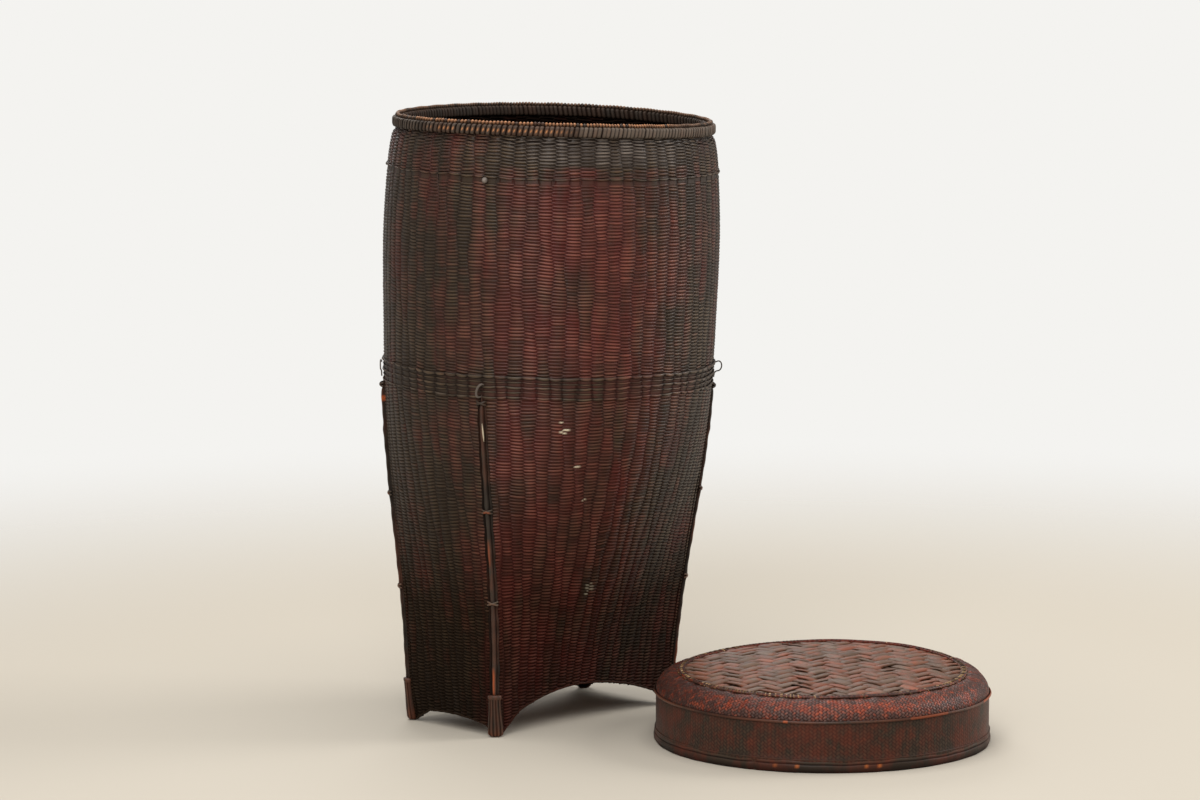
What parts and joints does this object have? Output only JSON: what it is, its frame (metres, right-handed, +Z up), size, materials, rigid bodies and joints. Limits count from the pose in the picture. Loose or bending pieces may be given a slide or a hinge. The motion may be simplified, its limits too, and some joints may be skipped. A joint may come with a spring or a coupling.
{
  "type": "lidded storage basket",
  "caption": "Tall woven cane basket: rectangular foot on short legs, round mouth with lashed rim, and a round plaited lid that lies beside it.",
  "frame": {"origin": "on the floor, at the middle of the footprint of basket and lid together", "axes": "+Z up; +X along the long side of the basket's rectangular foot, towards the right-hand and back feet; +Y along its short side, away from the lid; the lid lies on the -Y side"},
  "size_m": [0.3903, 0.5564, 0.5501],
  "materials": {
    "wall_lower": "woven split cane, worn dark red-brown lacquer",
    "wall_upper": "woven split cane, worn dark red-brown lacquer",
    "base_mat": "plaited split bamboo, smoked and lacquered",
    "rim_outer_hoop": "split cane, smoked and worn",
    "rim_inner_hoop": "split cane, smoked and worn",
    "rim_lashing": "split cane, smoked and worn",
    "rim_top_cane": "split cane, smoked and worn",
    "shoulder_band": "split cane, smoked and worn",
    "waist_band_upper": "split cane, smoked and worn",
    "waist_band_lower": "split cane, smoked and worn",
    "corner_post_back": "split cane, smoked and worn",
    "post_tie_back_low": "split cane, smoked and worn",
    "post_tie_back_middle": "split cane, smoked and worn",
    "post_tie_back_top": "split cane, smoked and worn",
    "foot_back": "split cane, smoked and worn",
    "strap_loop_back": "split cane, smoked and worn",
    "shoulder_peg_back": "split cane, smoked and worn",
    "corner_post_left": "split cane, smoked and worn",
    "post_tie_left_low": "split cane, smoked and worn",
    "post_tie_left_middle": "split cane, smoked and worn",
    "post_tie_left_top": "split cane, smoked and worn",
    "foot_left": "split cane, smoked and worn",
    "strap_loop_left": "split cane, smoked and worn",
    "shoulder_peg_left": "split cane, smoked and worn",
    "corner_post_front": "split cane, smoked and worn",
    "post_tie_front_low": "split cane, smoked and worn",
    "post_tie_front_middle": "split cane, smoked and worn",
    "post_tie_front_top": "split cane, smoked and worn",
    "foot_front": "split cane, smoked and worn",
    "strap_loop_front": "split cane, smoked and worn",
    "shoulder_peg_front": "split cane, smoked and worn",
    "corner_post_right": "split cane, smoked and worn",
    "post_tie_right_low": "split cane, smoked and worn",
    "post_tie_right_middle": "split cane, smoked and worn",
    "post_tie_right_top": "split cane, smoked and worn",
    "foot_right": "split cane, smoked and worn",
    "strap_loop_right": "split cane, smoked and worn",
    "shoulder_peg_right": "split cane, smoked and worn",
    "lid_skirt": "woven split cane, worn dark red-brown lacquer",
    "lid_hem_hoop": "split cane, smoked and worn",
    "lid_hem_cane": "split cane, smoked and worn",
    "lid_ridge_hoop": "split cane, smoked and worn",
    "lid_shoulder": "woven split cane, worn dark red-brown lacquer",
    "lid_top_panel": "plaited split bamboo, smoked and lacquered",
    "lid_border_cord": "split cane, smoked and worn"
  },
  "bodies": {
    "basket": {"wall_lower": "wall_lower", "wall_upper": "wall_upper", "base_mat": "base_mat", "rim_outer_hoop": "rim_outer_hoop", "rim_inner_hoop": "rim_inner_hoop", "rim_lashing": "rim_lashing", "rim_top_cane": "rim_top_cane", "shoulder_band": "shoulder_band", "waist_band_upper": "waist_band_upper", "waist_band_lower": "waist_band_lower", "corner_post_back": "corner_post_back", "post_tie_back_low": "post_tie_back_low", "post_tie_back_middle": "post_tie_back_middle", "post_tie_back_top": "post_tie_back_top", "foot_back": "foot_back", "strap_loop_back": "strap_loop_back", "shoulder_peg_back": "shoulder_peg_back", "corner_post_left": "corner_post_left", "post_tie_left_low": "post_tie_left_low", "post_tie_left_middle": "post_tie_left_middle", "post_tie_left_top": "post_tie_left_top", "foot_left": "foot_left", "strap_loop_left": "strap_loop_left", "shoulder_peg_left": "shoulder_peg_left", "corner_post_front": "corner_post_front", "post_tie_front_low": "post_tie_front_low", "post_tie_front_middle": "post_tie_front_middle", "post_tie_front_top": "post_tie_front_top", "foot_front": "foot_front", "strap_loop_front": "strap_loop_front", "shoulder_peg_front": "shoulder_peg_front", "corner_post_right": "corner_post_right", "post_tie_right_low": "post_tie_right_low", "post_tie_right_middle": "post_tie_right_middle", "post_tie_right_top": "post_tie_right_top", "foot_right": "foot_right", "strap_loop_right": "strap_loop_right", "shoulder_peg_right": "shoulder_peg_right"},
    "lid": {"lid_skirt": "lid_skirt", "lid_hem_hoop": "lid_hem_hoop", "lid_hem_cane": "lid_hem_cane", "lid_ridge_hoop": "lid_ridge_hoop", "lid_shoulder": "lid_shoulder", "lid_top_panel": "lid_top_panel", "lid_border_cord": "lid_border_cord"}
  },
  "joints": [
    {"name": "lid_lift", "type": "slide", "parent": "basket", "child": "lid", "axis": [0.0597, -0.1631, 0.9848], "range_m": [0, 0.6]}
  ]
}
